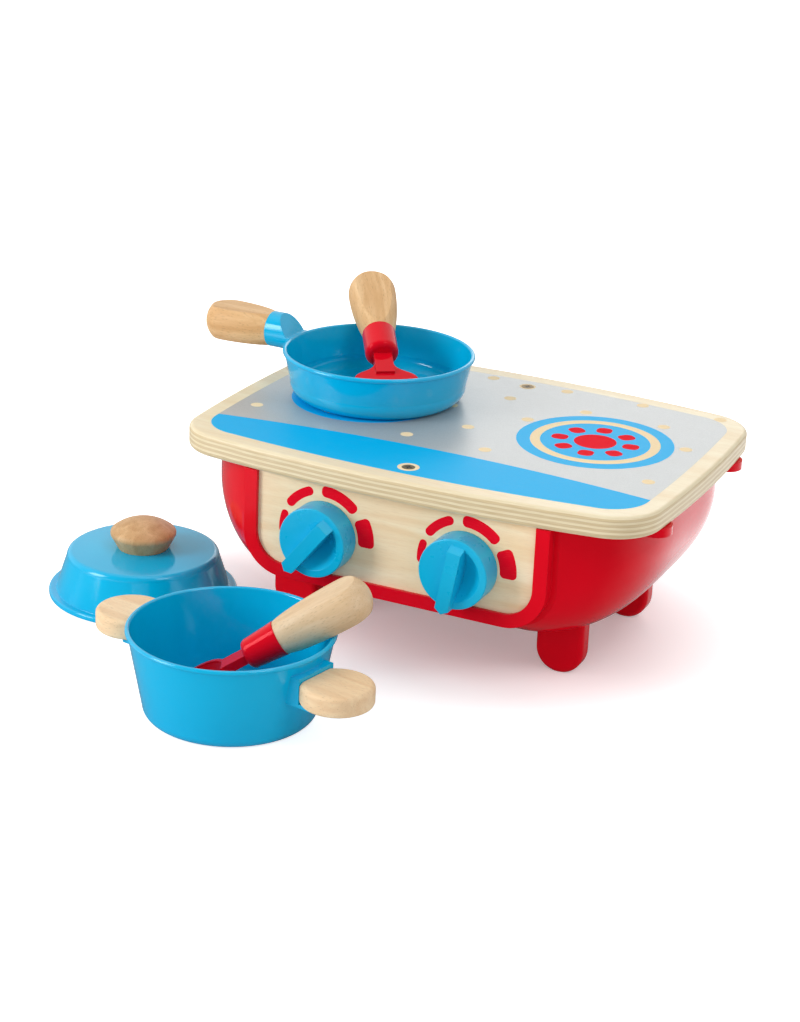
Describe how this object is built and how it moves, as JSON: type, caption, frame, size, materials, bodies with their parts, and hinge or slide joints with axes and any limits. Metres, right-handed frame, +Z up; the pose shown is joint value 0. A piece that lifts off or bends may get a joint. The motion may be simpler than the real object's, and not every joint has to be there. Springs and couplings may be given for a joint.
{
  "type": "play kitchen",
  "caption": "Table-top play hob with turning knobs on a red moulded body, with a pan, a spatula, a pot, a ladle and a lid.",
  "frame": {"origin": "on the floor, at the middle of the whole set's outline", "axes": "+X to the right of someone facing the knobs, +Y away from them, +Z up"},
  "size_m": [0.4399, 0.4148, 0.2015],
  "materials": {
    "plywood": "pale birch plywood with a printed grey and blue top, clear lacquer",
    "panel_wood": "pale plywood face, clear lacquer",
    "beech": "turned beech, sanded smooth, clear lacquer",
    "red_plastic": "glossy red moulded plastic",
    "blue_plastic": "glossy sky blue moulded plastic",
    "steel": "bright zinc-plated steel"
  },
  "bodies": {
    "hob": {"hob_board": "plywood", "front_rail": "beech", "rear_rail": "beech", "board_screws": "steel", "housing": "red_plastic", "ear_screws": "steel", "front_panel": "panel_wood", "back_panel": "panel_wood", "left_click_plate": "red_plastic", "right_click_plate": "red_plastic", "click_plate_screws": "steel"},
    "left_dial": {"left_knob": "blue_plastic", "left_click_wheel": "blue_plastic", "left_knob_washer": "steel", "left_knob_screw": "steel"},
    "right_dial": {"right_knob": "blue_plastic", "right_click_wheel": "blue_plastic", "right_knob_washer": "steel", "right_knob_screw": "steel"},
    "pan": {"pan_bowl": "blue_plastic", "pan_grip": "beech"},
    "spatula": {"spatula_head": "red_plastic", "spatula_grip": "beech"},
    "pot": {"pot_bowl": "blue_plastic", "left_pot_lug": "beech", "right_pot_lug": "beech"},
    "ladle": {"ladle_head": "red_plastic", "ladle_grip": "beech"},
    "lid": {"lid_shell": "blue_plastic", "lid_knob": "beech", "lid_screw": "steel", "lid_washer": "steel"}
  },
  "joints": [
    {"name": "left_knob_turn", "type": "hinge", "parent": "hob", "child": "left_dial", "pos_m": [-0.00005, -0.0352, 0.084], "axis": [0, -1, 0], "continuous": true},
    {"name": "right_knob_turn", "type": "hinge", "parent": "hob", "child": "right_dial", "pos_m": [0.09995, -0.0352, 0.084], "axis": [0, -1, 0], "continuous": true},
    {"name": "pan_lift", "type": "slide", "parent": "hob", "child": "pan", "axis": [0, 0, 1], "range_m": [0, 0.12]},
    {"name": "spatula_lift", "type": "slide", "parent": "pan", "child": "spatula", "axis": [0, 0, 1], "range_m": [0, 0.08]},
    {"name": "pot_lift", "type": "slide", "parent": "hob", "child": "pot", "axis": [0, 0, 1], "range_m": [0, 0.12]},
    {"name": "ladle_lift", "type": "slide", "parent": "pot", "child": "ladle", "axis": [0, 0, 1], "range_m": [0, 0.1]},
    {"name": "lid_lift", "type": "slide", "parent": "hob", "child": "lid", "axis": [0, 0, 1], "range_m": [0, 0.035]}
  ]
}
